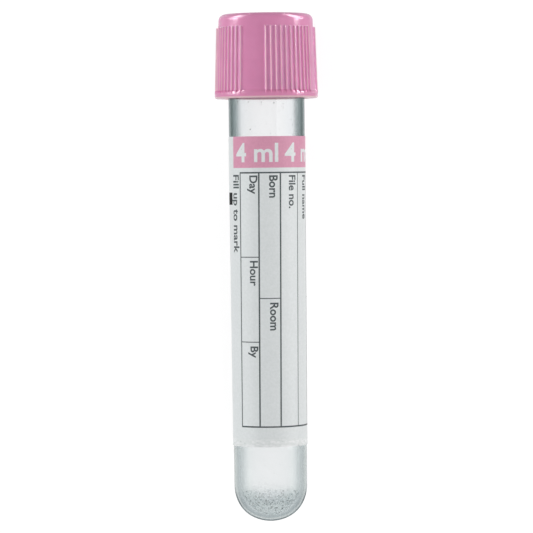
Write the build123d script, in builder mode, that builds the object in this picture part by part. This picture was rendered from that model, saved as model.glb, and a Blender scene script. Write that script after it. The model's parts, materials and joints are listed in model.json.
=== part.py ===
from build123d import *
from math import asin, atan2, cos, degrees, hypot, radians, sin, tan
import os

# Evacuated blood collection tube, 13 x 75 mm for a 4 ml draw, with a ribbed pull-off closure.
#
# Everything is round about the tube's axis. A station is a distance along that axis, from the
# outside of the round bottom (0) towards the closure. An angle is measured round the axis from its
# upper side, positive towards +Y. Millimetres throughout.
#
# The tube lies on its side, as it comes to rest: its round bottom and the closure's skirt both touch
# the floor, so the axis rises a little towards the closure. The closure points along -X.

# Tube: clear moulded plastic, drafted so that it widens towards its mouth
TUBE_LENGTH = 75.0
TUBE_WALL = 1.05
BOTTOM_RADIUS = 5.98
TUBE_DRAFT = 0.22
TUBE_RIM_CHAMFER = 0.25

# Closure shell: an outer skirt with grip ribs, and a web inside that carries the stopper
CAP_BOTTOM = 69.3
CAP_TOP = 83.1
CAP_TOP_RADIUS = 7.70
CAP_TOP_ROUND = 1.1
CAP_TOP_ROUND_FACES = 4
CAP_DRAFT = 1.7
SKIRT_RADIUS = 8.44
SKIRT_HEIGHT = 1.25
SKIRT_CHAMFER = 0.3
SHOULDER_HEIGHT = 0.35
SKIRT_BORE = 6.75
SKIRT_MOUTH = 6.95
WEB_THICKNESS = 1.3
RECESS_RADIUS = 5.9
RECESS_LIP_CHAMFER = 0.35

# Grip ribs, in groups with a smooth window between one group and the next
RIB_GROUPS = 4
RIBS_IN_GROUP = 11
RIB_PITCH = 6.0
FIRST_WINDOW = -16.3
RIB_HEIGHT = 0.35
RIB_BASE_WIDTH = 0.54
RIB_CREST_WIDTH = 0.34
RIB_FOOT = 71.0
RIB_HEAD = 81.0
RIB_END_CHAMFER = 0.25
RIB_ROOTED = 0.25

# Rubber stopper: a plug with sealing beads, a flange on the tube's rim, and a head above the web
FLANGE_RADIUS = 6.65
FLANGE_THICKNESS = 2.0
NECK_RADIUS = 4.4
HEAD_RADIUS = 5.2
HEAD_HEIGHT = 1.2
PLUG_LENGTH = 4.9
PLUG_RELIEF = 0.25
PLUG_LEAD = 0.6
PLUG_CLEARANCE = 0.02
BEADS = 2
BEAD_PITCH = 1.9
BEAD_WIDTH = 0.9
BEAD_CREST = 0.2
TARGET_RADIUS = 3.1
TARGET_DEPTH = 0.4
WELL_RADIUS = 2.0
WELL_DEPTH = 3.9
WELL_TAPER = 1.2

# Retaining ring: pressed into the shell over the stopper's head, and open for the needle
RING_HEIGHT = 2.1
PORT_RADIUS = 3.6
PORT_LEAD = 0.6
RING_CHAMFER = 0.25

# Label: one wrapped sheet that leaves a clear strip on one side
LABEL_FOOT = 12.8
LABEL_HEAD = 63.1
LABEL_START = -98.0
LABEL_ARC = 318.0
LABEL_THICKNESS = 0.1

# Anticoagulant, about 7 mg, dried where it pooled in the round bottom
ADDITIVE_SPREAD = 27.0


def tube_radius(station):
    """The tube's outer radius at a station above its round bottom."""
    return BOTTOM_RADIUS + (station - BOTTOM_RADIUS) * tan(radians(TUBE_DRAFT))


def bore_radius(station):
    """The tube's inner radius at a station above its round bottom."""
    return tube_radius(station) - TUBE_WALL


def shell_radius(station):
    """The closure shell's outer radius between its ribs."""
    return CAP_TOP_RADIUS + (CAP_TOP - station) * tan(radians(CAP_DRAFT))


# The axis' tilt, from the floor line that touches both the round bottom and the skirt's lowest edge
edge_height = CAP_BOTTOM + SKIRT_CHAMFER - BOTTOM_RADIUS
tilt = atan2(SKIRT_RADIUS, edge_height) - asin(BOTTOM_RADIUS / hypot(edge_height, SKIRT_RADIUS))

# The place that centres the whole object on X: it reaches from the closure's top edge to the bottom
top_round_station = CAP_TOP - CAP_TOP_ROUND
top_round_radius = shell_radius(top_round_station) - CAP_TOP_ROUND / cos(radians(CAP_DRAFT))
reach = CAP_TOP * cos(tilt) + top_round_radius * sin(tilt)
half_length = (reach + BOTTOM_RADIUS * (1 - cos(tilt))) / 2
bottom_x = reach - half_length
bottom_z = BOTTOM_RADIUS * (1 - sin(tilt))

bottom = Vector(bottom_x, 0, bottom_z)
upward = Vector(sin(tilt), 0, cos(tilt))
sideways = Vector(0, 1, 0)
to_cap = Vector(-cos(tilt), 0, sin(tilt))
tube_axis = Axis(bottom, to_cap)


def section_plane(angle=0.0):
    """The plane that holds the tube's axis: X is the distance from it at an angle, Y the station."""
    outward = upward * cos(radians(angle)) + sideways * sin(radians(angle))
    return Plane(origin=bottom, x_dir=outward, z_dir=outward.cross(to_cap))


def cross_plane(station):
    """The plane across the tube's axis at a station: X is up, Y is sideways."""
    return Plane(origin=bottom + to_cap * station, x_dir=upward, z_dir=to_cap)


# The long drafted walls below are drawn as straight Bezier lines: revolved, they give a smooth face
# that is cut into far fewer facets than a cone of the same shape.
with BuildPart() as tube:
    with BuildSketch(section_plane()):
        with BuildLine():
            below_rim = TUBE_LENGTH - TUBE_RIM_CHAMFER
            outer_arc = CenterArc((0, BOTTOM_RADIUS), BOTTOM_RADIUS, -90, 90)
            inner_arc = CenterArc((0, BOTTOM_RADIUS), BOTTOM_RADIUS - TUBE_WALL, -90, 90)
            rim = Polyline(
                (tube_radius(below_rim), below_rim),
                (tube_radius(TUBE_LENGTH) - TUBE_RIM_CHAMFER, TUBE_LENGTH),
                (bore_radius(TUBE_LENGTH) + TUBE_RIM_CHAMFER, TUBE_LENGTH),
                (bore_radius(below_rim), below_rim),
            )
            Bezier(outer_arc @ 1, rim @ 0)
            Bezier(rim @ 1, inner_arc @ 1)
            Line(inner_arc @ 0, outer_arc @ 0)
        make_face()
    revolve(axis=tube_axis)
tube.part.label = "tube"

with BuildPart() as label:
    with BuildSketch(section_plane(LABEL_START)):
        with BuildLine():
            foot_radius = tube_radius(LABEL_FOOT)
            head_radius = tube_radius(LABEL_HEAD)
            back = Bezier((foot_radius, LABEL_FOOT), (head_radius, LABEL_HEAD))
            face = Bezier(
                (foot_radius + LABEL_THICKNESS, LABEL_FOOT),
                (head_radius + LABEL_THICKNESS, LABEL_HEAD),
            )
            Line(back @ 0, face @ 0)
            Line(back @ 1, face @ 1)
        make_face()
    revolve(axis=tube_axis, revolution_arc=LABEL_ARC)
label.part.label = "label"

with BuildPart() as dried_additive:
    with BuildSketch(section_plane()):
        with BuildLine():
            on_wall = CenterArc(
                (0, BOTTOM_RADIUS), BOTTOM_RADIUS - TUBE_WALL, start_angle=-90, arc_size=ADDITIVE_SPREAD
            )
            Polyline(on_wall @ 1, (0, (on_wall @ 1).Y), on_wall @ 0)
        make_face()
    revolve(axis=tube_axis)
dried_additive.part.label = "dried_additive"

# Stations inside the closure, from the tube's rim outwards
flange_top = TUBE_LENGTH + FLANGE_THICKNESS
web_top = flange_top + WEB_THICKNESS
head_top = web_top + HEAD_HEIGHT
ring_top = head_top + RING_HEIGHT
plug_foot = TUBE_LENGTH - PLUG_LENGTH

with BuildPart() as rubber_stopper:
    with BuildSketch(section_plane()):
        with BuildLine():
            plug_radius = bore_radius(plug_foot) - PLUG_RELIEF
            outline = [
                (0, plug_foot + WELL_DEPTH),
                (WELL_RADIUS - WELL_TAPER, plug_foot + WELL_DEPTH),
                (WELL_RADIUS, plug_foot + WELL_DEPTH - WELL_TAPER),
                (WELL_RADIUS, plug_foot),
                (plug_radius - PLUG_LEAD / 2, plug_foot),
                (plug_radius, plug_foot + PLUG_LEAD),
            ]
            for bead in range(BEADS):
                middle = TUBE_LENGTH - BEAD_PITCH * (BEADS - bead - 0.5)
                crest_radius = bore_radius(middle) - PLUG_CLEARANCE
                outline += [
                    (plug_radius, middle - BEAD_WIDTH / 2),
                    (crest_radius, middle - BEAD_CREST / 2),
                    (crest_radius, middle + BEAD_CREST / 2),
                    (plug_radius, middle + BEAD_WIDTH / 2),
                ]
            outline += [
                (plug_radius, TUBE_LENGTH),
                (FLANGE_RADIUS, TUBE_LENGTH),
                (FLANGE_RADIUS, flange_top),
                (NECK_RADIUS, flange_top),
                (NECK_RADIUS, web_top),
                (HEAD_RADIUS, web_top),
                (HEAD_RADIUS, head_top),
                (TARGET_RADIUS + TARGET_DEPTH, head_top),
                (TARGET_RADIUS, head_top - TARGET_DEPTH),
                (0, head_top - TARGET_DEPTH),
            ]
            Polyline(outline, close=True)
        make_face()
    revolve(axis=tube_axis)
rubber_stopper.part.label = "rubber_stopper"

with BuildPart() as retaining_ring:
    with BuildSketch(section_plane()):
        with BuildLine():
            Polyline(
                (PORT_RADIUS, head_top),
                (HEAD_RADIUS, head_top),
                (HEAD_RADIUS, web_top),
                (RECESS_RADIUS, web_top),
                (RECESS_RADIUS, ring_top - RING_CHAMFER),
                (RECESS_RADIUS - RING_CHAMFER, ring_top),
                (PORT_RADIUS + PORT_LEAD, ring_top),
                (PORT_RADIUS, ring_top - PORT_LEAD),
                close=True,
            )
        make_face()
    revolve(axis=tube_axis)
retaining_ring.part.label = "retaining_ring"

# One grip rib, drawn upright at its foot: X is outwards from the shell's surface, Z along the rib
with BuildPart() as grip_rib:
    rib_length = (RIB_HEAD - RIB_FOOT) / cos(radians(CAP_DRAFT))
    with BuildSketch(Plane.XY):
        with BuildLine():
            half_rib = Polyline(
                (-RIB_ROOTED, 0),
                (-RIB_ROOTED, RIB_BASE_WIDTH / 2),
                (0, RIB_BASE_WIDTH / 2),
                (RIB_HEIGHT, RIB_CREST_WIDTH / 2),
                (RIB_HEIGHT, 0),
            )
            mirror(half_rib, about=Plane.XZ)
        make_face()
    extrude(amount=rib_length)
    with BuildSketch(Plane.XZ) as rib_side:
        with BuildLine():
            Polyline(
                (-RIB_ROOTED, 0),
                (RIB_HEIGHT, 0),
                (RIB_HEIGHT, rib_length),
                (-RIB_ROOTED, rib_length),
                close=True,
            )
        make_face()
        chamfer(rib_side.vertices().group_by(Axis.X)[-1], length=RIB_END_CHAMFER)
    extrude(amount=RIB_BASE_WIDTH, both=True, mode=Mode.INTERSECT)

# Ribs lean with the shell's draft, so the first one is tipped inwards about its foot
rib_seat = Location((shell_radius(RIB_FOOT), 0, RIB_FOOT), (0, -CAP_DRAFT, 0))

with BuildPart(cross_plane(0)) as cap_shell:
    with BuildSketch(section_plane()):
        with BuildLine():
            skirt_top = CAP_BOTTOM + SKIRT_HEIGHT
            shoulder = skirt_top + SHOULDER_HEIGHT
            outer_edge = Polyline(
                (SKIRT_MOUTH, CAP_BOTTOM),
                (SKIRT_RADIUS - SKIRT_CHAMFER, CAP_BOTTOM),
                (SKIRT_RADIUS, CAP_BOTTOM + SKIRT_CHAMFER),
                (SKIRT_RADIUS, skirt_top),
                (shell_radius(shoulder), shoulder),
            )
            top_arc = CenterArc(
                (top_round_radius, top_round_station),
                CAP_TOP_ROUND,
                start_angle=CAP_DRAFT,
                arc_size=90 - CAP_DRAFT,
                mode=Mode.PRIVATE,
            )
            top_faces = range(CAP_TOP_ROUND_FACES + 1)
            top_round = Polyline([top_arc @ (face / CAP_TOP_ROUND_FACES) for face in top_faces])
            Bezier(outer_edge @ 1, top_round @ 0)
            Polyline(
                top_round @ 1,
                (RECESS_RADIUS + RECESS_LIP_CHAMFER, CAP_TOP),
                (RECESS_RADIUS, CAP_TOP - RECESS_LIP_CHAMFER),
                (RECESS_RADIUS, web_top),
                (NECK_RADIUS, web_top),
                (NECK_RADIUS, flange_top),
                (SKIRT_BORE, flange_top),
            )
            Bezier((SKIRT_BORE, flange_top), outer_edge @ 0)
        make_face()
    revolve(axis=tube_axis)
    rib_span = RIB_PITCH * (RIBS_IN_GROUP - 1)
    for group in range(RIB_GROUPS):
        group_middle = FIRST_WINDOW + 360 / RIB_GROUPS * (group + 0.5)
        with PolarLocations(0, RIBS_IN_GROUP, group_middle - rib_span / 2, rib_span, endpoint=True):
            with Locations(rib_seat):
                add(grip_rib.part)
cap_shell.part.label = "cap_shell"

os.makedirs("parts", exist_ok=True)
for piece in (tube, label, dried_additive, rubber_stopper, retaining_ring, cap_shell):
    export_step(piece.part, f"parts/{piece.part.label}.step")

print(f"axis tilt {degrees(tilt):.3f} degrees, bottom at x {bottom_x:.3f}, z {bottom_z:.3f}")
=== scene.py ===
import json
from math import ceil, cos, degrees, hypot, pi, radians, sin, sqrt, tan
import random

import bmesh
import bpy
from mathutils import Matrix, Vector


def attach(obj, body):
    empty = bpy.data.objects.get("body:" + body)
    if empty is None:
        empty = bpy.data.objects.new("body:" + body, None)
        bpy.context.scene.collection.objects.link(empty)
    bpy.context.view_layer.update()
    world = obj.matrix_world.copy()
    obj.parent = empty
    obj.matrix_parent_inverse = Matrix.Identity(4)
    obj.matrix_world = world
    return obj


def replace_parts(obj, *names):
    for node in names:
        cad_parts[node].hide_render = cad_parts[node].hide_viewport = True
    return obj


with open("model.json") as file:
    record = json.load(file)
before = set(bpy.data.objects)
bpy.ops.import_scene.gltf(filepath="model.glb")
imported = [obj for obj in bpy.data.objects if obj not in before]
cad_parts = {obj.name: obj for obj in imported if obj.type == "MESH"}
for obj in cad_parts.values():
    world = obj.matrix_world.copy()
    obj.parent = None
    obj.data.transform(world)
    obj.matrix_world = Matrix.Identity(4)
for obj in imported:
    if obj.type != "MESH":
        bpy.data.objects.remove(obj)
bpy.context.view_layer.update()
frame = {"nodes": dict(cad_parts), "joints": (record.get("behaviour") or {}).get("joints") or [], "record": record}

# A clear blood collection tube with a wrapped form label and a ribbed pink closure, lying on a pale
# floor. Everything is round about the tube's axis: a station is a distance along it from the outside
# of the round bottom, and an angle is measured round it from its upper side, positive towards +Y.
# Radii and stations are in millimetres here, and spot() turns them into metres in the row frame.

MM = 0.001

mounts = {mount["name"]: mount for mount in frame["record"]["mounts"]}
BOTTOM = Vector(mounts["rack_seat"]["pos_m"])
TO_CAP = Vector(frame["joints"][0]["axis"]).normalized()
SIDEWAYS = Vector((0, 1, 0))
UPWARD = SIDEWAYS.cross(TO_CAP)


def outward(angle):
    """Unit vector that points away from the axis at an angle in degrees."""
    return UPWARD * cos(radians(angle)) + SIDEWAYS * sin(radians(angle))


def spot(radius, angle, station):
    """The place in metres at a radius, an angle and a station."""
    return BOTTOM + TO_CAP * (station * MM) + outward(angle) * (radius * MM)


def round_spots(node):
    """(station, radius) in millimetres of every point of a CAD node."""
    found = []
    for vertex in frame["nodes"][node].data.vertices:
        away = vertex.co - BOTTOM
        along = away.dot(TO_CAP)
        found.append((along / MM, (away - TO_CAP * along).length / MM))
    return found


def radii_near(node, station, reach=0.15):
    """Smallest and largest radius of a CAD node's points near a station."""
    found = [radius for along, radius in round_spots(node) if abs(along - station) < reach]
    return min(found), max(found)


def stations_of(node):
    """Lowest and highest station of a CAD node."""
    found = [station for station, _ in round_spots(node)]
    return min(found), max(found)


# ---------------------------------------------------------------- sizes, read from the CAD pieces

# The round bottom is widest at the equator, and its bend bulges a little past a plain sphere.
TUBE_HEAD = stations_of("tube")[1]
UNDER_RIM = TUBE_HEAD - 0.25
RIM_ROUND = 0.35
EQUATOR = 5.98
BOTTOM_FULLNESS = 0.1
BORE_AT_EQUATOR, WALL_AT_EQUATOR = radii_near("tube", EQUATOR)
DRAFT = (radii_near("tube", UNDER_RIM)[1] - WALL_AT_EQUATOR) / (UNDER_RIM - EQUATOR)

# The paper reaches a lip below the CAD's label, and turns by the skew in degrees for each millimetre.
LABEL_FOOT, LABEL_HEAD = stations_of("label")
LABEL_LIP = 0.2
LABEL_START = -98.0
LABEL_END = 220.0
LABEL_BACK, LABEL_FACE = radii_near("label", LABEL_FOOT)
LABEL_SKEW = 0.065
GLUE_GAP = 0.004
INK_RISE = 0.006

# The stopper's flange lies between the tube's rim and the shell's web, and its neck goes through the web.
CAP_FOOT, CAP_HEAD = stations_of("cap_shell")
CAP_HEAD_RADIUS = 7.70
CAP_DRAFT = 1.7
SKIRT_CORNER = 0.3
SKIRT_RADIUS = radii_near("cap_shell", CAP_FOOT + SKIRT_CORNER)[1]
FLANGE_TOP = TUBE_HEAD + 2.0
FLANGE_RADIUS = 6.65
WEB_TOP = FLANGE_TOP + 1.3
NECK_RADIUS = 4.4
RECESS_RADIUS = 5.9
STOPPER_HEAD_RADIUS = 5.2
STOPPER_HEAD_HEIGHT = 1.2
PORT_RADIUS = mounts["needle_port"]["dims"]["r_mm"]


def wall_radius(station):
    """Outer radius of the tube above its round bottom."""
    return WALL_AT_EQUATOR + (station - EQUATOR) * DRAFT


def bore_radius(station):
    """Inner radius of the tube above its round bottom."""
    return BORE_AT_EQUATOR + (station - EQUATOR) * DRAFT


def face_radius(station):
    """Radius of the label's printed face."""
    return LABEL_FACE + (station - LABEL_FOOT) * DRAFT


def back_radius(station):
    """Radius of the label's back, which stands just clear of the tube's wall."""
    return face_radius(station) - (LABEL_FACE - LABEL_BACK) + GLUE_GAP


def askew(station):
    """How far round, in degrees, the label sits at a station, because it was wrapped a little askew."""
    return LABEL_SKEW * (station - (LABEL_FOOT + LABEL_HEAD) / 2)


def shell_radius(station):
    """Outer radius of the closure between its ribs."""
    return CAP_HEAD_RADIUS + (CAP_HEAD - station) * tan(radians(CAP_DRAFT))


# ---------------------------------------------------------------- making meshes


def new_object(name, data):
    """An object in the scene, made of a mesh, a lamp, a camera or a text."""
    made = bpy.data.objects.new(name, data)
    bpy.context.scene.collection.objects.link(made)
    return made


def placed(across, up, back, place):
    """The matrix of an object at a place, with its own X, Y and Z in three directions."""
    turn = Matrix((across, up, back)).transposed().to_4x4()
    turn.translation = place
    return turn


def piece(name, points, faces, body, materials, face_materials=None, sharp=40):
    """A smooth mesh object that rides on a body. Its edges that bend by more than sharp degrees show."""
    mesh = bpy.data.meshes.new(name)
    mesh.from_pydata(points, [], faces)
    for material in materials:
        mesh.materials.append(material)
    if face_materials:
        mesh.polygons.foreach_set("material_index", face_materials)
    mesh.validate()
    mesh.shade_smooth()
    mesh.set_sharp_from_angle(angle=radians(sharp))
    made = new_object(name, mesh)
    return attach(made, body)


def rounded(outline, steps=6):
    """An outline of (radius, station, corner radius) with its corners rounded, as (radius, station)."""
    points = []
    count = len(outline)
    for index, (x, y, corner) in enumerate(outline):
        here = Vector((x, y))
        before = Vector(outline[index - 1][:2]) - here
        after = Vector(outline[(index + 1) % count][:2]) - here
        if not corner:
            points.append((x, y))
            continue
        turn = before.angle(after)
        reach = corner / tan(turn / 2)
        start = here + before.normalized() * reach
        end = here + after.normalized() * reach
        halfway = (before.normalized() + after.normalized()).normalized()
        middle = here + halfway * (corner / sin(turn / 2))
        sweep = (start - middle).angle_signed(end - middle)
        for step in range(steps + 1):
            share = -sweep * step / steps
            arm = start - middle
            points.append((
                middle.x + arm.x * cos(share) - arm.y * sin(share),
                middle.y + arm.x * sin(share) + arm.y * cos(share),
            ))
    return points


def lathe(outline, columns=192):
    """A closed outline of (radius, station) turned round the axis: points, faces and each face's row."""
    points, rings = [], []
    for radius, station in outline:
        if radius < 1e-6:
            rings.append([len(points)] * columns)
            points.append(spot(0, 0, station))
            continue
        rings.append(list(range(len(points), len(points) + columns)))
        points += [spot(radius, 360 * column / columns, station) for column in range(columns)]
    faces, rows = [], []
    for row, ring in enumerate(rings):
        above = rings[(row + 1) % len(rings)]
        for column in range(columns):
            other = (column + 1) % columns
            corners = [ring[column], ring[other], above[other], above[column]]
            corners = [corner for place, corner in enumerate(corners) if corner not in corners[:place]]
            if len(corners) > 2:
                faces.append(corners)
                rows.append(row)
    return points, faces, rows


def face_outwards(made):
    """Turn every face of a closed mesh outwards."""
    shape = bmesh.new()
    shape.from_mesh(made.data)
    bmesh.ops.recalc_face_normals(shape, faces=shape.faces)
    shape.to_mesh(made.data)
    shape.free()
    return made


# ---------------------------------------------------------------- making materials


def paint(red, green, blue):
    """A shader colour from red, green and blue as a screen shows them, 0 to 255."""
    def linear(value):
        value /= 255
        return value / 12.92 if value <= 0.04045 else ((value + 0.055) / 1.055) ** 2.4
    return linear(red), linear(green), linear(blue), 1.0


def grey(level):
    """A shader colour of one level from 0 to 1, as light adds up and not as a screen shows it."""
    return level, level, level, 1.0


WHITE = grey(1.0)


def add(tree, kind, inputs=None, **settings):
    """A node with its settings, and its inputs set to values or linked to other nodes' outputs."""
    made = tree.nodes.new(kind)
    for name, value in settings.items():
        setattr(made, name, value)
    for name, value in (inputs or {}).items():
        if isinstance(value, bpy.types.NodeSocket):
            tree.links.new(value, made.inputs[name])
        else:
            made.inputs[name].default_value = value
    return made


def ramp(tree, driver, stops):
    """A colour ramp over a driver, from (position, colour) stops."""
    made = add(tree, "ShaderNodeValToRGB", {"Fac": driver})
    elements = made.color_ramp.elements
    while len(elements) < len(stops):
        elements.new(1.0)
    for element, (position, colour) in zip(elements, stops):
        element.position = position
        element.color = colour
    return made.outputs["Color"]


def new_material(name):
    """An empty node material and its tree."""
    material = bpy.data.materials.new(name)
    material.use_nodes = True
    material.node_tree.nodes.clear()
    return material, material.node_tree


def finish_material(tree, shader):
    """Send a shader to the material's surface."""
    add(tree, "ShaderNodeOutputMaterial", {"Surface": shader})


def opaque(material, inputs):
    """Finish a material as one principled surface."""
    shader = add(material.node_tree, "ShaderNodeBsdfPrincipled", inputs)
    finish_material(material.node_tree, shader.outputs["BSDF"])
    return material


def combine(tree, first, second, how):
    """Two values put together by one Math node."""
    return add(tree, "ShaderNodeMath", {0: first, 1: second}, operation=how).outputs["Value"]


def mix_shaders(tree, share, first, second):
    """Mix two shaders by a share."""
    return add(tree, "ShaderNodeMixShader", {0: share, 1: first, 2: second}).outputs["Shader"]


def noise(tree, scale, detail=3.0, roughness=0.5, stretch=(1, 1, 1)):
    """Noise over the object's own coordinates. Scale is in features per millimetre."""
    place = add(tree, "ShaderNodeTexCoord").outputs["Object"]
    sized = add(tree, "ShaderNodeMapping", {"Vector": place, "Scale": Vector(stretch) * scale / MM})
    made = add(tree, "ShaderNodeTexNoise", {
        "Vector": sized.outputs["Vector"], "Scale": 1.0, "Detail": detail, "Roughness": roughness,
    })
    return made.outputs["Fac"]


def bump(tree, height, distance):
    """A bump of a depth in millimetres from a height pattern."""
    made = add(tree, "ShaderNodeBump", {"Height": height, "Strength": 1.0, "Distance": distance * MM})
    return made.outputs["Normal"]


def pink_plastic(name, low, high):
    """Satin moulded polyethylene, a little uneven in tone, with a fine moulded grain."""
    material, tree = new_material(name)
    tone = ramp(tree, noise(tree, 0.35), [(0.3, low), (0.7, high)])
    gloss = ramp(tree, noise(tree, 1.5), [(0.3, grey(0.17)), (0.7, grey(0.24))])
    return opaque(material, {
        "Base Color": tone, "Roughness": gloss, "IOR": 1.5, "Specular IOR Level": 0.15,
        "Subsurface Weight": 0.35, "Subsurface Radius": (1.0, 0.7, 0.8), "Subsurface Scale": 0.5 * MM,
        "Normal": bump(tree, noise(tree, 3, detail=1), 0.0015),
    })


def label_stock(name, light, dark, roughness, ior=1.5, loose_strip=0.0):
    """Coated label paper in one printed colour, with fine fibres and a faint mottle.

    A loose strip, so many millimetres wide, is paler, with grey spots where glue and air show through.
    """
    material, tree = new_material(name)
    tone = ramp(tree, noise(tree, 2.5, detail=5), [(0.3, light), (0.7, dark)])
    if loose_strip:
        pale = ramp(tree, noise(tree, 1.1, detail=3, roughness=0.6, stretch=(2.2, 1, 1)), [
            (0.28, paint(146, 154, 154)), (0.35, paint(224, 229, 228)), (0.5, paint(230, 234, 234)),
            (0.6, paint(242, 244, 245)),
        ])
        paper_foot = LABEL_FOOT - LABEL_LIP
        share = station_share(tree, paper_foot + loose_strip * 0.7, paper_foot + loose_strip)
        tone = mix_colours(tree, share, pale, tone)
    height = combine(tree, noise(tree, 14, detail=2), noise(tree, 0.8, detail=2), "ADD")
    return opaque(material, {
        "Base Color": tone, "Roughness": roughness, "IOR": ior, "Normal": bump(tree, height, 0.006),
    })


def stopper_rubber():
    """Matt dark butyl rubber with a dusty bloom and fine grain."""
    material, tree = new_material("stopper_rubber")
    tone = ramp(tree, noise(tree, 3, detail=6, roughness=0.7), [
        (0.35, paint(52, 52, 56)), (0.55, paint(66, 66, 70)), (0.75, paint(96, 96, 100)),
    ])
    return opaque(material, {
        "Base Color": tone, "Roughness": 0.72, "IOR": 1.5, "Sheen Weight": 0.25,
        "Normal": bump(tree, noise(tree, 9, detail=4), 0.02),
    })


def black_plastic():
    """Satin black moulded plastic, a little uneven in tone and gloss."""
    material, tree = new_material("black_plastic")
    tone = ramp(tree, noise(tree, 1.2, detail=4), [(0.3, paint(30, 30, 32)), (0.7, paint(42, 42, 45))])
    gloss = ramp(tree, noise(tree, 2), [(0.3, grey(0.28)), (0.7, grey(0.42))])
    return opaque(material, {
        "Base Color": tone, "Roughness": gloss, "IOR": 1.5,
        "Normal": bump(tree, noise(tree, 7, detail=3), 0.006),
    })


def station_share(tree, low, high, how="SMOOTHSTEP"):
    """0 at a low station to 1 at a high one, from the object's own coordinates."""
    place = add(tree, "ShaderNodeTexCoord").outputs["Object"]
    away = add(tree, "ShaderNodeVectorMath", {0: place, 1: BOTTOM}, operation="SUBTRACT")
    along = add(tree, "ShaderNodeVectorMath", {0: away.outputs[0], 1: TO_CAP}, operation="DOT_PRODUCT")
    share = add(tree, "ShaderNodeMapRange", {
        "Value": along.outputs["Value"], "From Min": low * MM, "From Max": high * MM,
    }, interpolation_type=how)
    return share.outputs["Result"]


def mix_colours(tree, share, first, second, how="MIX"):
    """Mix two colours by a share."""
    made = add(tree, "ShaderNodeMix", data_type="RGBA", blend_type=how)
    for index, value in ((0, share), (6, first), (7, second)):
        if isinstance(value, bpy.types.NodeSocket):
            tree.links.new(value, made.inputs[index])
        else:
            made.inputs[index].default_value = value
    return made.outputs[2]


def clear_shader(tree, tint, ior, through, normal=None):
    """Glass that lamps shine through: shadow and diffuse rays pass it as a tinted film."""
    inputs = {"Color": tint, "Roughness": 0.0, "IOR": ior}
    if normal:
        inputs["Normal"] = normal
    glass = add(tree, "ShaderNodeBsdfGlass", inputs)
    film = add(tree, "ShaderNodeBsdfTransparent", {"Color": through})
    path = add(tree, "ShaderNodeLightPath")
    passing = combine(tree, path.outputs["Is Shadow Ray"], path.outputs["Is Diffuse Ray"], "MAXIMUM")
    return mix_shaders(tree, passing, glass.outputs["BSDF"], film.outputs["BSDF"])


CLEAR_IOR = 1.575
DOME_TO_FOOT = (3.5, 6.5)
FOOT_TO_NECK = (20, 50)
SPECKLED_TO_CLEAN = (4.5, 6.5)
FILM_REACH = (0, 8)


def clear_plastic_outside():
    """The tube's outer face. Its tint is painted shade: darker where the face turns from the view, standing in for
    dark surroundings that clear plastic shows near its edges.
    """
    material, tree = new_material("clear_plastic_outside")
    facing = add(tree, "ShaderNodeLayerWeight", {"Blend": 0.5}).outputs["Facing"]
    neck = ramp(tree, facing, [
        (0.00, paint(238, 239, 240)), (0.10, paint(232, 234, 235)), (0.20, paint(228, 231, 233)),
        (0.26, paint(220, 224, 226)), (0.31, paint(198, 204, 206)), (0.36, paint(170, 178, 180)),
        (0.44, paint(143, 154, 155)), (0.52, paint(128, 140, 141)), (0.60, paint(104, 117, 116)),
        (0.68, paint(122, 134, 134)), (0.78, paint(170, 178, 179)),
    ])
    foot = ramp(tree, facing, [
        (0.00, paint(232, 234, 235)), (0.12, paint(228, 231, 232)), (0.20, paint(223, 228, 228)),
        (0.27, paint(211, 217, 218)), (0.33, paint(197, 204, 205)), (0.42, paint(187, 195, 196)),
        (0.56, paint(181, 189, 190)), (0.66, paint(196, 203, 203)), (0.76, paint(204, 209, 209)),
        (0.85, paint(214, 218, 218)),
    ])
    dome = ramp(tree, facing, [
        (0.00, paint(236, 238, 239)), (0.065, paint(226, 229, 230)), (0.12, paint(213, 218, 218)),
        (0.20, paint(210, 215, 215)), (0.32, paint(215, 220, 220)), (0.39, paint(204, 210, 211)),
        (0.47, paint(181, 188, 190)), (0.55, paint(172, 180, 182)), (0.61, paint(180, 187, 188)),
        (0.66, paint(208, 212, 212)), (0.71, paint(198, 203, 204)), (0.76, paint(154, 162, 164)),
        (0.84, paint(122, 132, 134)),
    ])
    # Painted shade: the edge tint is darker at the neck than at the foot and the round bottom.
    low = mix_colours(tree, station_share(tree, *DOME_TO_FOOT), dome, foot)
    wall = mix_colours(tree, station_share(tree, *FOOT_TO_NECK), low, neck)
    leaving = add(tree, "ShaderNodeNewGeometry").outputs["Backfacing"]
    tint = mix_colours(tree, leaving, wall, WHITE)
    waves = bump(tree, noise(tree, 0.12, detail=2, stretch=(0.4, 1, 1)), 0.01)
    finish_material(tree, clear_shader(tree, tint, CLEAR_IOR, (0.93, 0.94, 0.94, 1), waves))
    return material


def clear_plastic_inside():
    """The tube's bore, with the faint haze of the sprayed additive low down."""
    material, tree = new_material("clear_plastic_inside")
    grains = ramp(tree, noise(tree, 2.5, detail=5, roughness=0.7), [
        (0.35, paint(238, 240, 240)), (0.5, paint(251, 252, 252)), (0.65, paint(255, 255, 255)),
    ])
    film = ramp(tree, station_share(tree, *FILM_REACH, "LINEAR"), [
        (0.13, paint(238, 240, 241)), (0.20, paint(250, 252, 252)), (0.30, paint(245, 247, 248)),
        (0.42, paint(240, 242, 243)), (0.50, paint(242, 244, 245)), (0.58, paint(249, 250, 250)),
        (0.69, paint(254, 254, 254)), (0.88, paint(255, 255, 255)),
    ])
    speckled = mix_colours(tree, station_share(tree, *SPECKLED_TO_CLEAN), grains, WHITE)
    tint = mix_colours(tree, 1.0, film, speckled, "MULTIPLY")
    finish_material(tree, clear_shader(tree, tint, CLEAR_IOR, grey(0.98)))
    return material


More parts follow.
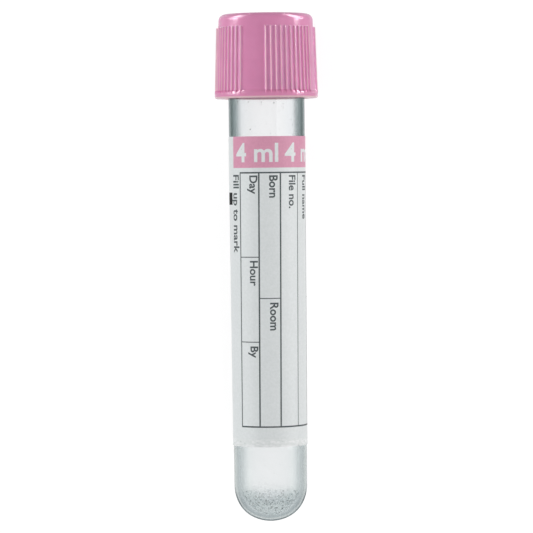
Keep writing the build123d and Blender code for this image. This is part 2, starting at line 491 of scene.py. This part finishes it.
def clear_plastic_rim():
    """The tube's moulded rim. Seen end-on, the wall behind it is full of light and looks pale."""
    material, tree = new_material("clear_plastic_rim")
    tone = ramp(tree, noise(tree, 1.5, detail=4), [
        (0.3, paint(188, 198, 197)), (0.7, paint(206, 214, 213)),
    ])
    return opaque(material, {
        "Base Color": tone, "Roughness": 0.22, "IOR": CLEAR_IOR,
        "Normal": bump(tree, noise(tree, 1.2, detail=2), 0.01),
    })


def additive_drops():
    """Clear dried droplets with painted shade darker at their rims, where they turn from the view, some of them
    with a white crust.
    """
    material, tree = new_material("additive_drops")
    facing = add(tree, "ShaderNodeLayerWeight", {"Blend": 0.5}).outputs["Facing"]
    rim = ramp(tree, facing, [
        (0.0, paint(255, 255, 255)), (0.3, paint(251, 252, 252)), (0.6, paint(238, 241, 241)),
        (0.9, paint(216, 221, 221)),
    ])
    cloud = ramp(tree, noise(tree, 1.5), [(0.4, paint(247, 248, 249)), (0.7, paint(255, 255, 255))])
    tint = mix_colours(tree, 1.0, rim, cloud, "MULTIPLY")
    clear = clear_shader(tree, tint, 1.45, grey(0.97))
    crust = add(tree, "ShaderNodeBsdfDiffuse", {"Color": paint(244, 246, 245)})
    dried = ramp(tree, noise(tree, 1.3), [(0.5, grey(0.0)), (0.56, grey(0.9))])
    finish_material(tree, mix_shaders(tree, dried, clear, crust.outputs["BSDF"]))
    return material


# ---------------------------------------------------------------- the tube

# Droplets above the round bottom are in patches of (low station, high station, count, largest radius).
OUTER, INNER, RIM = range(3)
BOTTOM_DROPS = 560
DROP_RADII = (0.06, 0.08, 0.1, 0.12, 0.16)
DROP_SUNK = 0.04
DROP_PATCHES = ((6, 12, 16, 0.07), (63.0, 69, 44, 0.11))


def tube_outline():
    """The tube's section: round bottom, drafted wall, rounded rim, bore and round inside."""
    outside, inside = [], []
    bends = 40
    for bend in range(bends + 1):
        turn = pi / 2 * bend / bends
        fuller = BOTTOM_FULLNESS * sin(2 * turn) ** 3
        outside.append((
            (WALL_AT_EQUATOR + fuller) * sin(turn), EQUATOR - (EQUATOR + fuller) * cos(turn),
        ))
        inside.append((BORE_AT_EQUATOR * sin(turn), EQUATOR - BORE_AT_EQUATOR * cos(turn)))
    walls = 24
    straight = TUBE_HEAD - RIM_ROUND - EQUATOR
    for wall in range(1, walls):
        station = EQUATOR + straight * wall / walls
        outside.append((wall_radius(station), station))
        inside.append((bore_radius(station), station))
    rim = rounded([
        (wall_radius(TUBE_HEAD), TUBE_HEAD, RIM_ROUND),
        (bore_radius(TUBE_HEAD), TUBE_HEAD, RIM_ROUND),
        (bore_radius(EQUATOR), EQUATOR, 0),
        (wall_radius(EQUATOR), EQUATOR, 0),
    ])[:-2]
    return outside, rim, inside[::-1]


def make_tube(outer, inner, end):
    """The clear tube, with a material each for its outer face, its bore and its rim."""
    outside, rim, inside = tube_outline()
    points, faces, rows = lathe(outside + rim + inside, columns=224)
    first_inside = len(outside) + len(rim) - 2
    last_inside = len(outside + rim + inside) - 1
    sides = []
    for row in rows:
        if len(outside) <= row < first_inside:
            sides.append(RIM)
        else:
            sides.append(INNER if first_inside <= row < last_inside else OUTER)
    made = piece("clear_tube", points, faces, "tube_body", [outer, inner, end], sides,
                 sharp=60)
    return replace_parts(face_outwards(made), "tube")


def dome(points, faces, centre, out, radius, height, rings=4, sides=10):
    """Add a low dome to a mesh: its foot is round a centre, and its tip points out from the surface."""
    across = out.orthogonal().normalized()
    over = out.cross(across)
    start = len(points)
    for ring in range(rings):
        turn = pi / 2 * ring / rings
        for side in range(sides):
            swing = 2 * pi * side / sides
            arm = (across * cos(swing) + over * sin(swing)) * radius * cos(turn)
            points.append(centre + arm + out * height * sin(turn))
    points.append(centre + out * height)
    tip = len(points) - 1
    for ring in range(rings - 1):
        for side in range(sides):
            other = (side + 1) % sides
            low = start + ring * sides
            faces.append([low + side, low + other, low + sides + other, low + sides + side])
    last = start + (rings - 1) * sides
    faces += [[last + side, last + (side + 1) % sides, tip] for side in range(sides)]
    faces.append([start + side for side in reversed(range(sides))])


def make_drops(material):
    """The sprayed additive, dried as fine droplets inside the bottom and a few near the closure."""
    chance = random.Random(4)
    points, faces = [], []
    middle = spot(0, 0, EQUATOR)
    for drop in range(BOTTOM_DROPS):
        turn = radians(8 + 66 * sqrt(chance.random()))
        away = outward(chance.uniform(0, 360)) * sin(turn) - TO_CAP * cos(turn)
        size = chance.choice(DROP_RADII) * chance.uniform(0.8, 1.2) * MM
        foot = middle + away * (BORE_AT_EQUATOR * MM - size * DROP_SUNK)
        dome(points, faces, foot, -away, size, size * chance.uniform(0.25, 0.5), 3, 8)
    for low, high, count, largest in DROP_PATCHES:
        for drop in range(count):
            station = chance.uniform(low, high)
            away = outward(chance.uniform(0, 360))
            size = chance.uniform(0.045, largest) * MM
            foot = spot(0, 0, station) + away * (bore_radius(station) * MM - size * DROP_SUNK)
            dome(points, faces, foot, -away, size, size * 0.9)
    made = piece("dried_droplets", points, faces, "tube_body", [material], sharp=80)
    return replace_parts(made, "dried_additive")


# ---------------------------------------------------------------- the label

# Lines along the tube are (angle, width), and lines round it (first angle, last angle, station).
PAPER, BLACK_INK, PINK_INK, MARK_INK = range(4)
LOOSE_STRIP = 1.4
PAPER_LIFT = 0.035
RIPPLE_DEPTH = 0.006
BAND_FOOT = 58.0
BAND_START = -62.4
BAND_END = 214.0
FRAME_HEAD = 57.2
FRAME_FOOT = 15.9
THIN = 0.15
THICK = 0.25
COLUMNS = ((-46, 0.2), (-14, THICK), (18.5, THICK), (50, THIN), (82, THICK), (114, THICK), (146, THIN),
           (178, THICK))
CROSS_LINES = ((-46, -14, 43.5), (-46, -14, 29.7), (-14, 18.5, 36.8), (82, 114, 36.8))
FILL_MARK = (LABEL_START, -67.0, 52.0, 54.0)
CAPITAL_SHARE = 0.7
LETTER_STRIP = 0.3


def printed_areas():
    """Everything ruled or filled on the label, as (ink, first angle, last angle, low, high station)."""
    def across(width):
        return degrees(width / LABEL_FACE) / 2
    areas = [(PINK_INK, BAND_START, BAND_END, BAND_FOOT, LABEL_HEAD), (MARK_INK, *FILL_MARK)]
    first, last = COLUMNS[0][0], COLUMNS[-1][0]
    for station in (FRAME_HEAD, FRAME_FOOT):
        areas.append((BLACK_INK, first - across(THIN), last + across(THICK),
                      station - THICK / 2, station + THICK / 2))
    for angle, width in COLUMNS:
        areas.append((BLACK_INK, angle - across(width), angle + across(width), FRAME_FOOT, FRAME_HEAD))
    for start, end, station in CROSS_LINES:
        areas.append((BLACK_INK, start, end, station - THIN / 2, station + THIN / 2))
    return areas


def cuts(edges, low, high, step):
    """Sorted places from low to high that include every edge and leave no gap wider than a step."""
    edges = sorted({round(edge, 4) for edge in (*edges, low, high) if low <= edge <= high})
    places = []
    for start, end in zip(edges, edges[1:]):
        parts = max(1, ceil((end - start) / step))
        places += [start + (end - start) * part / parts for part in range(parts)]
    return places + [edges[-1]]


def wrinkle(angle, station):
    """How far the paper stands off the tube near its foot, in millimetres, where it didn't take glue."""
    above = station - LABEL_FOOT + LABEL_LIP
    low = max(0.0, 1 - above / LOOSE_STRIP)
    wave = sin(radians(angle) * 9 + 0.6) * 0.5 + sin(radians(angle) * 17 + 2.1) * 0.3 + 0.8
    fine = sin(above * 15 + 2.5 * sin(radians(angle) * 4))
    coarse = sin(above * 9 + 3 * sin(radians(angle) * 2.3))
    return PAPER_LIFT * low * low * wave + RIPPLE_DEPTH * low * (fine + coarse + 2)


def make_label(materials):
    """The paper label, as a thin closed sheet whose faces are cut along everything printed on it."""
    areas = printed_areas()
    angles = cuts([edge for area in areas for edge in area[1:3]], LABEL_START, LABEL_END, 1.6)
    foot = LABEL_FOOT - LABEL_LIP
    low_edge = [foot + 0.07 * step for step in range(22)]
    stations = cuts([edge for area in areas for edge in area[3:]] + low_edge, foot, LABEL_HEAD, 2.0)
    points, faces, inks = [], [], []
    for radius_at in (back_radius, face_radius):
        for angle in angles:
            for station in stations:
                radius = radius_at(station) + wrinkle(angle, station)
                points.append(spot(radius, angle + askew(station), station))
    tall, wide = len(stations), len(angles)

    def under(column, row):
        return column * tall + row

    def over(column, row):
        return (wide + column) * tall + row

    for column in range(wide - 1):
        for row in range(tall - 1):
            angle = (angles[column] + angles[column + 1]) / 2
            station = (stations[row] + stations[row + 1]) / 2
            ink = PAPER
            for kind, start, end, low, high in areas:
                if start <= angle <= end and low <= station <= high:
                    ink = kind
            faces.append([over(column, row), over(column, row + 1), over(column + 1, row + 1),
                          over(column + 1, row)])
            inks.append(ink)
            faces.append([under(column, row), under(column + 1, row), under(column + 1, row + 1),
                          under(column, row + 1)])
            inks.append(PAPER)
    for column in range(wide - 1):
        for row in (0, tall - 1):
            faces.append([under(column, row), over(column, row), over(column + 1, row),
                          under(column + 1, row)])
            inks.append(PAPER)
    for row in range(tall - 1):
        for column in (0, wide - 1):
            faces.append([under(column, row), under(column, row + 1), over(column, row + 1),
                          over(column, row)])
            inks.append(PAPER)
    made = piece("paper_label", points, faces, "tube_body", materials, inks)
    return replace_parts(face_outwards(made), "label")


def letter_mesh(words, height, weight):
    """A flat mesh of generic words whose capitals have a height in millimetres, cut into strips."""
    curve = bpy.data.curves.new("words", "FONT")
    curve.body = words
    curve.size = height / CAPITAL_SHARE
    curve.offset = weight
    curve.resolution_u = 4
    source = new_object("words", curve)
    bpy.context.view_layer.update()
    flat = bpy.data.meshes.new_from_object(source.evaluated_get(bpy.context.evaluated_depsgraph_get()))
    bpy.data.objects.remove(source)
    shape = bmesh.new()
    shape.from_mesh(flat)
    reach = max(max(abs(vertex.co.x), abs(vertex.co.y)) for vertex in shape.verts)
    strips = ceil(reach / LETTER_STRIP)
    for axis in (Vector((1, 0, 0)), Vector((0, 1, 0))):
        for strip in range(-strips, strips + 1):
            bmesh.ops.bisect_plane(shape, geom=[*shape.verts, *shape.edges, *shape.faces],
                                   plane_co=axis * (strip * LETTER_STRIP), plane_no=axis)
    points = [vertex.co.copy() for vertex in shape.verts]
    faces = [[vertex.index for vertex in face.verts] for face in shape.faces]
    shape.free()
    return points, faces


def make_lettering(name, lines, height, weight, runs_down, material):
    """Words on the label: (words, angle, station) each. They read down the tube, or round it."""
    points, faces = [], []
    for words, angle, station in lines:
        flat, parts = letter_mesh(words, height, weight)
        start = len(points)
        for point in flat:
            along, over = point.x, point.y
            if runs_down:
                place, turn = station - along, angle + degrees(over / LABEL_FACE)
            else:
                place, turn = station + over, angle + degrees(along / LABEL_FACE)
            points.append(spot(face_radius(place) + INK_RISE, turn + askew(place), place))
        faces += [[start + corner for corner in part] for part in parts]
    return piece(name, points, faces, "tube_body", [material])


# ---------------------------------------------------------------- the closure

# Ribs stand in groups with a smooth window between one group and the next. Angles are in degrees, and the
# shell's columns of points lie at the rib offsets on both sides of each rib's middle.
RIB_GROUPS = 4
RIBS_IN_GROUP = 11
RIB_PITCH = 6.0
FIRST_WINDOW = -15.4
WINDOW_PARTS = 14
RIB_HEIGHT = 0.35
RIB_HEAD = 81.0
RIB_HALF_BASE = 0.19
RIB_HALF_CREST = 0.04
# Faces this close to a rib's middle take the paler crest pink, a painted highlight.
RIB_HIGHLIGHT_REACH = 0.09
RIB_OFFSETS = (0, 0.03, 0.06, 0.09, 0.12, 0.15, 0.18, 0.215, 0.26)
RIB_MIDDLE_RADIUS = 8.2
BETWEEN_RIBS = 1.0
IN_WINDOW = 9.0
SKIRT_TOP = 70.2
LEDGE_TOP = 70.6
TOP_ROUND = 1.1
TOP_ROUND_FOOT = 81.6
SHELL_BORE = 6.75
SHELL_MOUTH = 6.95
WALL_STATIONS = (
    70.9, 71.2, 71.6, 72.2, 74, 76, 78, 79.4, 80.2, 80.5, 80.6, 80.68, 80.76, 80.82, 80.87, 80.91, 80.95,
    80.98, 81.02, 81.1, 81.3, TOP_ROUND_FOOT,
)
# Face pinks: plain wall, painted highlight on crests and the skirt's lower corner, painted light in grooves,
# painted glow inside the skirt, painted shade on the skirt.
WALL, PAINTED_HIGHLIGHT, PAINTED_FILL_LIGHT, PAINTED_GLOW, PAINTED_SHADE = range(5)


def rib_middles():
    """The angle of each grip rib."""
    middles = []
    for group in range(RIB_GROUPS):
        middle = FIRST_WINDOW + 360 / RIB_GROUPS * (group + 0.5)
        middles += [middle + RIB_PITCH * (rib - (RIBS_IN_GROUP - 1) / 2) for rib in range(RIBS_IN_GROUP)]
    return middles


def rib_rise(offset, station):
    """Height of a rib at a distance beside its middle: round crest, sloped flanks, round head."""
    past = max(0.0, station - (RIB_HEAD - RIB_HALF_BASE))
    away = hypot(offset, past)
    share = min(1.0, max(0.0, (RIB_HALF_BASE - away) / (RIB_HALF_BASE - RIB_HALF_CREST)))
    flank = share * share * (3 - 2 * share)
    crown = 1 - 0.10 * min(1.0, away / RIB_HALF_CREST) ** 2
    return RIB_HEIGHT * flank * crown


def shell_columns():
    """(angle, distance in millimetres from the nearest rib's middle) of each column of points."""
    columns = []
    middles = rib_middles()
    for middle in middles:
        for offset in sorted({side * offset for offset in RIB_OFFSETS for side in (-1, 1)}):
            columns.append((middle + degrees(offset / RIB_MIDDLE_RADIUS), abs(offset)))
    step = (360 / RIB_GROUPS - RIB_PITCH * (RIBS_IN_GROUP - 1)) / WINDOW_PARTS
    for group in range(RIB_GROUPS):
        window = FIRST_WINDOW + 360 / RIB_GROUPS * group
        half = WINDOW_PARTS // 2
        columns += [(window + step * place, IN_WINDOW) for place in range(1 - half, half)]
    return sorted(columns)


def shell_outline():
    """The shell's section as (radius, station): skirt, ribbed wall, top, recess, web and bore."""
    skirt = rounded([
        (SHELL_MOUTH, CAP_FOOT, 0.2), (SKIRT_RADIUS, CAP_FOOT, SKIRT_CORNER),
        (SKIRT_RADIUS, SKIRT_TOP, 1.2), (shell_radius(LEDGE_TOP), LEDGE_TOP, 0.05),
        (shell_radius(RIB_HEAD), RIB_HEAD, 0), (SHELL_BORE, TUBE_HEAD, 0),
    ], steps=5)[:-2]
    wall = [(shell_radius(station), station) for station in WALL_STATIONS]
    top = rounded([
        (shell_radius(TOP_ROUND_FOOT), TOP_ROUND_FOOT, 0), (shell_radius(CAP_HEAD), CAP_HEAD, TOP_ROUND),
        (RECESS_RADIUS, CAP_HEAD, 0.35), (RECESS_RADIUS, WEB_TOP, 0.25), (NECK_RADIUS, WEB_TOP, 0.1),
        (NECK_RADIUS, FLANGE_TOP, 0.1), (SHELL_BORE, FLANGE_TOP, 0.3), (SHELL_MOUTH, CAP_FOOT, 0.2),
    ], steps=8)[1:]
    inner = [point for point in top if point[1] > CAP_FOOT + 0.5]
    return skirt + wall + inner


def make_shell(materials):
    """Ribbed closure shell in five pinks: the plain wall, a paler painted highlight on rib crests and the skirt's
    lower corner, a lighter pink in the grooves as painted light against their shade, a paler painted glow inside
    the skirt, and a darker painted shade on the skirt's outside.
    """
    columns = shell_columns()
    outline = shell_outline()
    points, faces = [], []
    for radius, station in outline:
        outside = radius > shell_radius(station) - 0.001
        outside = outside and SKIRT_TOP - 0.2 < station < TOP_ROUND_FOOT + 0.2
        for angle, offset in columns:
            reach = radius
            if outside:
                reach = max(radius, shell_radius(station) + rib_rise(offset, station))
            points.append(spot(reach, angle, station))
    wide = len(columns)
    under_skirt = SKIRT_RADIUS - 1
    tones = []
    for row in range(len(outline)):
        above = (row + 1) % len(outline)
        radius, station = outline[row]
        ribbed = LEDGE_TOP <= station < RIB_HEAD and radius > shell_radius(RIB_HEAD) - 0.01
        # The inside of the skirt takes a paler pink, a painted glow of light through its thin wall.
        painted_glow_lip = station < LEDGE_TOP and outline[above][0] < under_skirt
        # The outside of the skirt takes a slightly darker pink, painted shade.
        skirt = station < LEDGE_TOP and radius > under_skirt
        # The skirt's lower corner takes the crest pink too, a painted highlight.
        edge = station < CAP_FOOT + 0.28 and radius > SKIRT_RADIUS - 0.31
        plain = PAINTED_GLOW if painted_glow_lip else PAINTED_SHADE if skirt else WALL
        for column in range(wide):
            other = (column + 1) % wide
            faces.append([row * wide + column, row * wide + other,
                          above * wide + other, above * wide + column])
            away = (columns[column][1] + columns[other][1]) / 2
            # Rib crests take the paler pink as a painted highlight, and grooves a lighter pink as painted light
            # against their shade.
            if edge or ribbed and away < RIB_HIGHLIGHT_REACH:
                tones.append(PAINTED_HIGHLIGHT)
            else:
                tones.append(PAINTED_FILL_LIGHT if ribbed and away < BETWEEN_RIBS else plain)
    made = piece("closure_shell", points, faces, "closure", materials, tones, 50)
    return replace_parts(face_outwards(made), "cap_shell")


def make_stopper(material):
    """Moulded rubber stopper: round-cornered flange and head, two sealing beads and a hollow foot."""
    foot, top = stations_of("rubber_stopper")
    plug = bore_radius(foot) - 0.25
    well_head = foot + 3.9
    outline = [
        (0, well_head, 0), (1.9, well_head, 0.9), (2.0, foot, 0.2), (plug - 0.12, foot, 0.25),
        (plug, foot + 0.7, 0.2),
    ]
    for bead in (1.5, 0.5):
        middle = TUBE_HEAD - 1.9 * bead
        crest = bore_radius(middle) - 0.02
        outline += [
            (plug, middle - 0.5, 0.12), (crest, middle - 0.14, 0.1), (crest, middle + 0.14, 0.1),
            (plug, middle + 0.5, 0.12),
        ]
    target = top - 0.4
    outline += [
        (plug, TUBE_HEAD, 0.05), (FLANGE_RADIUS, TUBE_HEAD, 0.25), (FLANGE_RADIUS, FLANGE_TOP, 0.25),
        (NECK_RADIUS, FLANGE_TOP, 0.05), (NECK_RADIUS, WEB_TOP, 0.05),
        (STOPPER_HEAD_RADIUS, WEB_TOP, 0.1), (STOPPER_HEAD_RADIUS, top, 0.15), (3.5, top, 0.15),
        (3.1, target, 0.15), (0, target, 0),
    ]
    points, faces, _ = lathe(rounded(outline, steps=4), columns=160)
    made = piece("stopper", points, faces, "closure", [material], sharp=50)
    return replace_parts(face_outwards(made), "rubber_stopper")


def make_ring(material):
    """Retaining ring in the closure's recess, with a funnel-edged opening for the needle."""
    foot, top = stations_of("retaining_ring")
    seat = foot + STOPPER_HEAD_HEIGHT
    outline = rounded([
        (PORT_RADIUS, seat, 0.05), (STOPPER_HEAD_RADIUS, seat, 0.05), (STOPPER_HEAD_RADIUS, foot, 0.05),
        (RECESS_RADIUS, foot, 0.1), (RECESS_RADIUS, top, 0.25), (PORT_RADIUS + 0.6, top, 0.2),
        (PORT_RADIUS, top - 0.6, 0.2),
    ], steps=5)
    points, faces, _ = lathe(outline, columns=160)
    made = piece("ring", points, faces, "closure", [material], sharp=50)
    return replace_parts(face_outwards(made), "retaining_ring")


# ---------------------------------------------------------------- the studio

# Distances here are in metres. The camera stands above one station of the tube and aims at another.
FLOOR_HALF = 3.0
FLOOR_DROP = 0.00001
SENSOR = 36
PICTURE_ANGLE = 9.68
CAMERA_HEIGHT = 0.516
CAMERA_STATION = 57.6
AIM_STATION = 41.8
CAMERA_ASIDE = 0.0003
CAMERA_LEAN = 0.65


def seen_rays(tree):
    """1 on rays from the camera, in reflections and through glass, and 0 on rays that bring light."""
    path = add(tree, "ShaderNodeLightPath")
    seen = combine(tree, path.outputs["Is Camera Ray"], path.outputs["Is Glossy Ray"], "MAXIMUM")
    return combine(tree, seen, path.outputs["Is Transmission Ray"], "MAXIMUM")


def make_floor():
    """A pale floor: white to the camera and in glass, and it keeps a soft shadow."""
    mesh = bpy.data.meshes.new("floor")
    corners = [(-1, -1), (1, -1), (1, 1), (-1, 1)]
    mesh.from_pydata([(FLOOR_HALF * x, FLOOR_HALF * y, 0) for x, y in corners], [], [(0, 1, 2, 3)])
    floor = new_object("floor", mesh)
    floor.location.z = -FLOOR_DROP
    material, tree = new_material("floor_white")
    plain = add(tree, "ShaderNodeBsdfDiffuse", {"Color": grey(0.5)})
    glow = add(tree, "ShaderNodeEmission", {"Color": WHITE, "Strength": 0.86})
    shaded = add(tree, "ShaderNodeBsdfDiffuse", {"Color": grey(0.26)})
    both = add(tree, "ShaderNodeAddShader", {0: glow.outputs["Emission"], 1: shaded.outputs["BSDF"]})
    finish_material(tree, mix_shaders(
        tree, seen_rays(tree), plain.outputs["BSDF"], both.outputs["Shader"]))
    mesh.materials.append(material)


def make_world(level):
    """Soft light from all round, and plain white to the camera and in reflections."""
    world = bpy.data.worlds.new("studio")
    bpy.context.scene.world = world
    world.use_nodes = True
    tree = world.node_tree
    tree.nodes.clear()
    light = add(tree, "ShaderNodeBackground", {"Color": WHITE, "Strength": level})
    white = add(tree, "ShaderNodeBackground", {"Color": WHITE, "Strength": 1.0})
    mixed = mix_shaders(tree, seen_rays(tree), light.outputs["Background"], white.outputs["Background"])
    add(tree, "ShaderNodeOutputWorld", {"Surface": mixed})


def lamp_box(name, place, aim, length, width, energy, colour):
    """A rectangular lamp at a place, facing another place, with its length along the tube."""
    light = bpy.data.lights.new(name, "AREA")
    light.shape = "RECTANGLE"
    light.size = length
    light.size_y = width
    light.energy = energy
    light.color = colour
    lamp = new_object(name, light)
    back = (place - aim).normalized()
    across = (TO_CAP - back * TO_CAP.dot(back)).normalized()
    lamp.matrix_world = placed(across, back.cross(across), back, place)
    lamp.visible_camera = False
    lamp.visible_transmission = False
    return lamp


def soft_light(name, angle, station, distance, length, width, level, colour=(1, 1, 1)):
    """A soft box that lights dull surfaces. Its level is what it adds to white that faces it."""
    aim = spot(0, 0, station)
    place = aim + outward(angle) * distance
    lamp = lamp_box(name, place, aim, length, width, level * (pi * distance) ** 2, colour)
    lamp.visible_glossy = False


def shine(name, angle, station, distance, length, width, glow, rise=0.0):
    """A box that shows only in glossy surfaces, and glows so many times brighter than white.

    It faces the tube's axis, or a point that rises above it.
    """
    place = spot(0, 0, station) + outward(angle) * distance
    aim = spot(0, 0, station) + UPWARD * rise
    lamp = lamp_box(name, place, aim, length, width, glow * pi * length * width, (1, 1, 1))
    lamp.visible_diffuse = False
    return lamp


def light_only(lit, lamps):
    """Let lamps light one piece only, as a studio's flags and grids do."""
    kept = bpy.data.collections.new("lit_by_small_lamps")
    kept.objects.link(lit)
    for lamp in lamps:
        lamp.light_linking.receiver_collection = kept


def make_camera():
    """The camera looks down on the lying tube, with the closure towards the top of the picture."""
    camera = bpy.data.cameras.new("camera")
    camera.sensor_width = SENSOR
    camera.lens = SENSOR / 2 / tan(radians(PICTURE_ANGLE / 2))
    camera.clip_start = 0.01
    camera.clip_end = 20
    rig = new_object("camera", camera)
    place = spot(0, 0, CAMERA_STATION) + UPWARD * CAMERA_HEIGHT - SIDEWAYS * CAMERA_ASIDE
    aim = spot(0, 0, AIM_STATION) - SIDEWAYS * CAMERA_ASIDE
    back = (place - aim).normalized()
    right = TO_CAP.cross(back).normalized()
    up = back.cross(right)
    lean = radians(CAMERA_LEAN)
    turned_up = up * cos(lean) + right * sin(lean)
    turned_right = right * cos(lean) - up * sin(lean)
    rig.matrix_world = placed(turned_right, turned_up, back, place)
    bpy.context.scene.camera = rig


# ---------------------------------------------------------------- the scene

make_camera()
make_floor()
make_world(0.42)
soft_light("left_box", -66, 45, 0.42, 0.45, 0.24, 0.53, (0.99, 0.995, 1.0))
soft_light("right_box", 74, 45, 0.42, 0.45, 0.20, 0.55, (1.0, 0.985, 0.98))
soft_light("front_box", 0, 50, 0.7, 0.6, 0.6, 0.06)
shine("right_shine", 62, 122, 0.40, 0.295, 0.50, 1.4)
small_lamps = [
    shine("left_end_shine", -84, 182, 0.1, 0.165, 0.15, 34, rise=0.15),
    shine("right_end_shine", 86, 182, 0.1, 0.165, 0.11, 42, rise=0.15),
    shine("left_strip", -87, 93, 0.1, 0.018, 0.08, 5),
    shine("right_strip", 78, 96, 0.1, 0.018, 0.014, 22),
]

paper = label_stock("label_paper", paint(232, 236, 237), paint(224, 229, 229), 0.4,
                    loose_strip=LOOSE_STRIP)
black_ink = label_stock("black_ink", paint(62, 70, 72), paint(78, 86, 88), 0.55)
pink_ink = label_stock("pink_ink", paint(226, 160, 186), paint(218, 152, 178), 0.45, ior=1.38)
mark_ink = label_stock("mark_ink", paint(26, 28, 29), paint(34, 36, 37), 0.6, ior=1.15)
white_ink = label_stock("white_ink", paint(236, 238, 240), paint(228, 232, 233), 0.5)

make_tube(clear_plastic_outside(), clear_plastic_inside(), clear_plastic_rim())
make_drops(additive_drops())
make_label([paper, black_ink, pink_ink, mark_ink])
make_lettering("form_words", [
    ("Day", -28.6, 56.85), ("Born", 1.8, 56.85), ("File no.", 33, 56.85), ("Full name", 64, 56.85),
    ("Hour", -28.6, 43.0), ("Room", 2.5, 36.2), ("By", -28.6, 29.1),
], 1.32, 0.045, True, black_ink)
make_lettering("mark_words", [("Fill up to mark", -63, 57.0)], 1.5, 0.045, True, black_ink)
make_lettering("band_words", [("4 ml", -54, 59.0), ("4 ml", 26, 59.0), ("4 ml", 106, 59.0)],
               3.0, 0.09, False, white_ink)
# The crest pink is a painted highlight, the groove pink painted light against the grooves' shade, the lip pink a
# painted glow through the thin skirt, and the skirt pink painted shade.
shell = make_shell([
    pink_plastic("pink_plastic", paint(224, 145, 186), paint(231, 152, 193)),
    pink_plastic("pink_plastic_painted_highlight", paint(231, 190, 200), paint(237, 198, 206)),
    pink_plastic("pink_plastic_painted_fill_light", paint(231, 165, 205), paint(238, 172, 211)),
    pink_plastic("pink_plastic_painted_glow", paint(250, 188, 198), paint(255, 196, 206)),
    pink_plastic("pink_plastic_painted_shade", paint(220, 142, 181), paint(227, 149, 188)),
])
light_only(shell, small_lamps)
make_stopper(stopper_rubber())
make_ring(black_plastic())

bpy.context.scene.view_settings.view_transform = "Standard"
